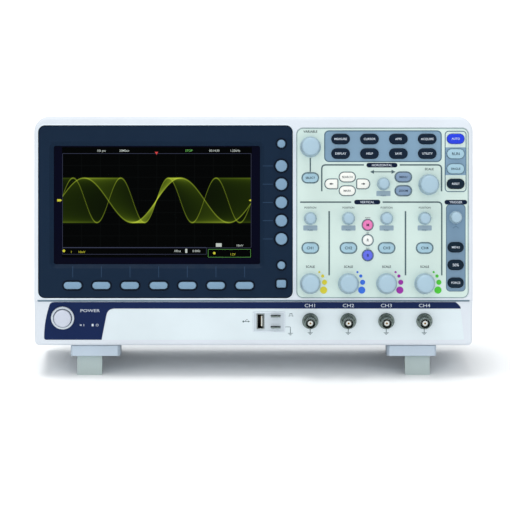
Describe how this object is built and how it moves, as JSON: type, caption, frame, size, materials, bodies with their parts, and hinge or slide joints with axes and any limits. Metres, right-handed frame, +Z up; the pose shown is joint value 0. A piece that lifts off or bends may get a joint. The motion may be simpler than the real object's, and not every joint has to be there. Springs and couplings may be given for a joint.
{
  "type": "digital oscilloscope",
  "caption": "Bench digital oscilloscope standing on flip-out tilt legs: wide colour display, knobs and keys on the right, a sloping input panel below, and a folding top handle.",
  "frame": {"origin": "on the ground under the middle of the box round the part, which stands leaning back on its tilt legs", "axes": "+X to the instrument's right as its user sees it, +Y from its front to its back, +Z up"},
  "size_m": [0.38, 0.1526, 0.2233],
  "materials": {
    "housing": "fine moulded texture, cool off-white",
    "bezel": "satin dark blue",
    "window": "glossy black display cover",
    "display_image": "lit trace and graticule on black",
    "panel": "satin pale mint overlay",
    "panel_blue": "satin grey-blue overlay",
    "panel_navy": "satin navy overlay",
    "print": "screen-printed legends",
    "knob": "satin light blue-grey",
    "key_soft": "satin blue-grey silicone",
    "key_dark": "satin navy silicone",
    "key_navy": "satin navy",
    "key_light": "satin light blue",
    "key_grey": "satin slate blue",
    "key_white": "satin white silicone",
    "key_pale": "satin white",
    "key_blue": "satin strong blue",
    "key_pink": "satin pink",
    "key_violet": "satin violet blue",
    "power_key": "satin silver-blue",
    "leg": "fine moulded texture, grey-green",
    "foot_rubber": "matt dark rubber",
    "nickel": "bright nickel plate",
    "steel": "plain sheet steel",
    "black_plastic": "moulded black",
    "board": "green solder resist"
  },
  "bodies": {
    "case": {"front_housing": "housing", "display_bezel": "bezel", "screen_window": "window", "rear_case": "housing", "front_foot_left": "housing", "front_foot_right": "housing", "rear_foot_left": "foot_rubber", "rear_foot_right": "foot_rubber", "usb_host_port": "nickel", "probe_hook": "nickel", "ground_hook": "nickel", "input_jack_1": "nickel", "input_jack_2": "nickel", "input_jack_3": "nickel", "input_jack_4": "nickel", "mains_inlet": "black_plastic", "lan_port": "steel", "usb_device_port": "steel", "display_module": "window", "keypad_board": "board", "main_board": "board", "power_supply": "board", "chassis_plate": "steel"},
    "handle": {"handle": "leg"},
    "tilt_leg_left": {"tilt_leg_left": "leg"},
    "tilt_leg_right": {"tilt_leg_right": "leg"},
    "power_button": {"power_button": "power_key"},
    "variable_knob": {"variable_knob": "knob"},
    "horizontal_position_knob": {"horizontal_position_knob": "knob"},
    "horizontal_scale_knob": {"horizontal_scale_knob": "knob"},
    "position_1_knob": {"position_1_knob": "knob"},
    "position_2_knob": {"position_2_knob": "knob"},
    "position_3_knob": {"position_3_knob": "knob"},
    "position_4_knob": {"position_4_knob": "knob"},
    "scale_1_knob": {"scale_1_knob": "knob"},
    "scale_2_knob": {"scale_2_knob": "knob"},
    "scale_3_knob": {"scale_3_knob": "knob"},
    "scale_4_knob": {"scale_4_knob": "knob"},
    "trigger_level_knob": {"trigger_level_knob": "knob"},
    "autoset_key": {"autoset_key": "key_blue"},
    "run_stop_key": {"run_stop_key": "key_light"},
    "single_key": {"single_key": "key_light"},
    "default_key": {"default_key": "key_navy"},
    "select_key": {"select_key": "key_light"},
    "horizontal_menu_key": {"horizontal_menu_key": "key_grey"},
    "zoom_key": {"zoom_key": "key_grey"},
    "channel_1_key": {"channel_1_key": "key_light"},
    "channel_2_key": {"channel_2_key": "key_light"},
    "channel_3_key": {"channel_3_key": "key_light"},
    "channel_4_key": {"channel_4_key": "key_light"},
    "math_key": {"math_key": "key_pink"},
    "reference_key": {"reference_key": "key_pale"},
    "bus_key": {"bus_key": "key_violet"},
    "trigger_menu_key": {"trigger_menu_key": "key_navy"},
    "trigger_half_key": {"trigger_half_key": "key_navy"},
    "trigger_force_key": {"trigger_force_key": "key_navy"},
    "function_keypad": {"function_keypad": "key_dark"},
    "search_keypad": {"search_keypad": "key_white"},
    "soft_keypad": {"soft_keypad": "key_soft"},
    "side_keypad": {"side_keypad": "key_soft"}
  },
  "joints": [
    {"name": "variable_turn", "type": "hinge", "parent": "case", "child": "variable_knob", "pos_m": [0.0493, -0.04318, 0.199], "axis": [0, 0.9813, -0.1927], "continuous": true},
    {"name": "horizontal_position_turn", "type": "hinge", "parent": "case", "child": "horizontal_position_knob", "pos_m": [0.1125, -0.04934, 0.1676], "axis": [0, 0.9813, -0.1927], "continuous": true},
    {"name": "horizontal_scale_turn", "type": "hinge", "parent": "case", "child": "horizontal_scale_knob", "pos_m": [0.1517, -0.04946, 0.16701], "axis": [0, 0.9813, -0.1927], "continuous": true},
    {"name": "position_1_turn", "type": "hinge", "parent": "case", "child": "position_1_knob", "pos_m": [0.0492, -0.0551, 0.13826], "axis": [0, 0.9813, -0.1927], "continuous": true},
    {"name": "position_2_turn", "type": "hinge", "parent": "case", "child": "position_2_knob", "pos_m": [0.0822, -0.0551, 0.13826], "axis": [0, 0.9813, -0.1927], "continuous": true},
    {"name": "position_3_turn", "type": "hinge", "parent": "case", "child": "position_3_knob", "pos_m": [0.1152, -0.0551, 0.13826], "axis": [0, 0.9813, -0.1927], "continuous": true},
    {"name": "position_4_turn", "type": "hinge", "parent": "case", "child": "position_4_knob", "pos_m": [0.1482, -0.0551, 0.13826], "axis": [0, 0.9813, -0.1927], "continuous": true},
    {"name": "scale_1_turn", "type": "hinge", "parent": "case", "child": "scale_1_knob", "pos_m": [0.0492, -0.06597, 0.08292], "axis": [0, 0.9813, -0.1927], "continuous": true},
    {"name": "scale_2_turn", "type": "hinge", "parent": "case", "child": "scale_2_knob", "pos_m": [0.0822, -0.06597, 0.08292], "axis": [0, 0.9813, -0.1927], "continuous": true},
    {"name": "scale_3_turn", "type": "hinge", "parent": "case", "child": "scale_3_knob", "pos_m": [0.1152, -0.06597, 0.08292], "axis": [0, 0.9813, -0.1927], "continuous": true},
    {"name": "scale_4_turn", "type": "hinge", "parent": "case", "child": "scale_4_knob", "pos_m": [0.1482, -0.06597, 0.08292], "axis": [0, 0.9813, -0.1927], "continuous": true},
    {"name": "trigger_level_turn", "type": "hinge", "parent": "case", "child": "trigger_level_knob", "pos_m": [0.175, -0.05493, 0.13915], "axis": [0, 0.9813, -0.1927], "continuous": true},
    {"name": "autoset_key_press", "type": "slide", "parent": "case", "child": "autoset_key", "axis": [0, 0.9813, -0.1927], "range_m": [0, 0.001], "stiffness_N_per_m": 500},
    {"name": "run_stop_key_press", "type": "slide", "parent": "case", "child": "run_stop_key", "axis": [0, 0.9813, -0.1927], "range_m": [0, 0.001], "stiffness_N_per_m": 500},
    {"name": "single_key_press", "type": "slide", "parent": "case", "child": "single_key", "axis": [0, 0.9813, -0.1927], "range_m": [0, 0.001], "stiffness_N_per_m": 500},
    {"name": "default_key_press", "type": "slide", "parent": "case", "child": "default_key", "axis": [0, 0.9813, -0.1927], "range_m": [0, 0.001], "stiffness_N_per_m": 500},
    {"name": "select_key_press", "type": "slide", "parent": "case", "child": "select_key", "axis": [0, 0.9813, -0.1927], "range_m": [0, 0.001], "stiffness_N_per_m": 500},
    {"name": "horizontal_menu_key_press", "type": "slide", "parent": "case", "child": "horizontal_menu_key", "axis": [0, 0.9813, -0.1927], "range_m": [0, 0.001], "stiffness_N_per_m": 500},
    {"name": "zoom_key_press", "type": "slide", "parent": "case", "child": "zoom_key", "axis": [0, 0.9813, -0.1927], "range_m": [0, 0.001], "stiffness_N_per_m": 500},
    {"name": "channel_1_key_press", "type": "slide", "parent": "case", "child": "channel_1_key", "axis": [0, 0.9813, -0.1927], "range_m": [0, 0.001], "stiffness_N_per_m": 500},
    {"name": "channel_2_key_press", "type": "slide", "parent": "case", "child": "channel_2_key", "axis": [0, 0.9813, -0.1927], "range_m": [0, 0.001], "stiffness_N_per_m": 500},
    {"name": "channel_3_key_press", "type": "slide", "parent": "case", "child": "channel_3_key", "axis": [0, 0.9813, -0.1927], "range_m": [0, 0.001], "stiffness_N_per_m": 500},
    {"name": "channel_4_key_press", "type": "slide", "parent": "case", "child": "channel_4_key", "axis": [0, 0.9813, -0.1927], "range_m": [0, 0.001], "stiffness_N_per_m": 500},
    {"name": "math_key_press", "type": "slide", "parent": "case", "child": "math_key", "axis": [0, 0.9813, -0.1927], "range_m": [0, 0.001], "stiffness_N_per_m": 500},
    {"name": "reference_key_press", "type": "slide", "parent": "case", "child": "reference_key", "axis": [0, 0.9813, -0.1927], "range_m": [0, 0.001], "stiffness_N_per_m": 500},
    {"name": "bus_key_press", "type": "slide", "parent": "case", "child": "bus_key", "axis": [0, 0.9813, -0.1927], "range_m": [0, 0.001], "stiffness_N_per_m": 500},
    {"name": "trigger_menu_key_press", "type": "slide", "parent": "case", "child": "trigger_menu_key", "axis": [0, 0.9813, -0.1927], "range_m": [0, 0.001], "stiffness_N_per_m": 500},
    {"name": "trigger_half_key_press", "type": "slide", "parent": "case", "child": "trigger_half_key", "axis": [0, 0.9813, -0.1927], "range_m": [0, 0.001], "stiffness_N_per_m": 500},
    {"name": "trigger_force_key_press", "type": "slide", "parent": "case", "child": "trigger_force_key", "axis": [0, 0.9813, -0.1927], "range_m": [0, 0.001], "stiffness_N_per_m": 500},
    {"name": "function_keypad_press", "type": "slide", "parent": "case", "child": "function_keypad", "axis": [0, 0.9813, -0.1927], "range_m": [0, 0.001], "stiffness_N_per_m": 1200},
    {"name": "search_keypad_press", "type": "slide", "parent": "case", "child": "search_keypad", "axis": [0, 0.9813, -0.1927], "range_m": [0, 0.001], "stiffness_N_per_m": 1200},
    {"name": "soft_keypad_press", "type": "slide", "parent": "case", "child": "soft_keypad", "axis": [0, 0.9813, -0.1927], "range_m": [0, 0.001], "stiffness_N_per_m": 1200},
    {"name": "side_keypad_press", "type": "slide", "parent": "case", "child": "side_keypad", "axis": [0, 0.9813, -0.1927], "range_m": [0, 0.001], "stiffness_N_per_m": 1200},
    {"name": "power_button_press", "type": "slide", "parent": "case", "child": "power_button", "axis": [0, 0.9998, -0.0194], "range_m": [0, 0.0015], "stiffness_N_per_m": 600},
    {"name": "tilt_leg_left_fold", "type": "hinge", "parent": "case", "child": "tilt_leg_left", "pos_m": [-0.143, -0.05122, 0.02051], "axis": [1, 0, 0], "range_deg": [0, 90]},
    {"name": "tilt_leg_right_fold", "type": "hinge", "parent": "case", "child": "tilt_leg_right", "pos_m": [0.143, -0.05122, 0.02051], "axis": [1, 0, 0], "range_deg": [0, 90]},
    {"name": "handle_lift", "type": "hinge", "parent": "case", "child": "handle", "pos_m": [0, 0.03718, 0.2034], "axis": [-1, 0, 0], "range_deg": [0, 90]}
  ]
}
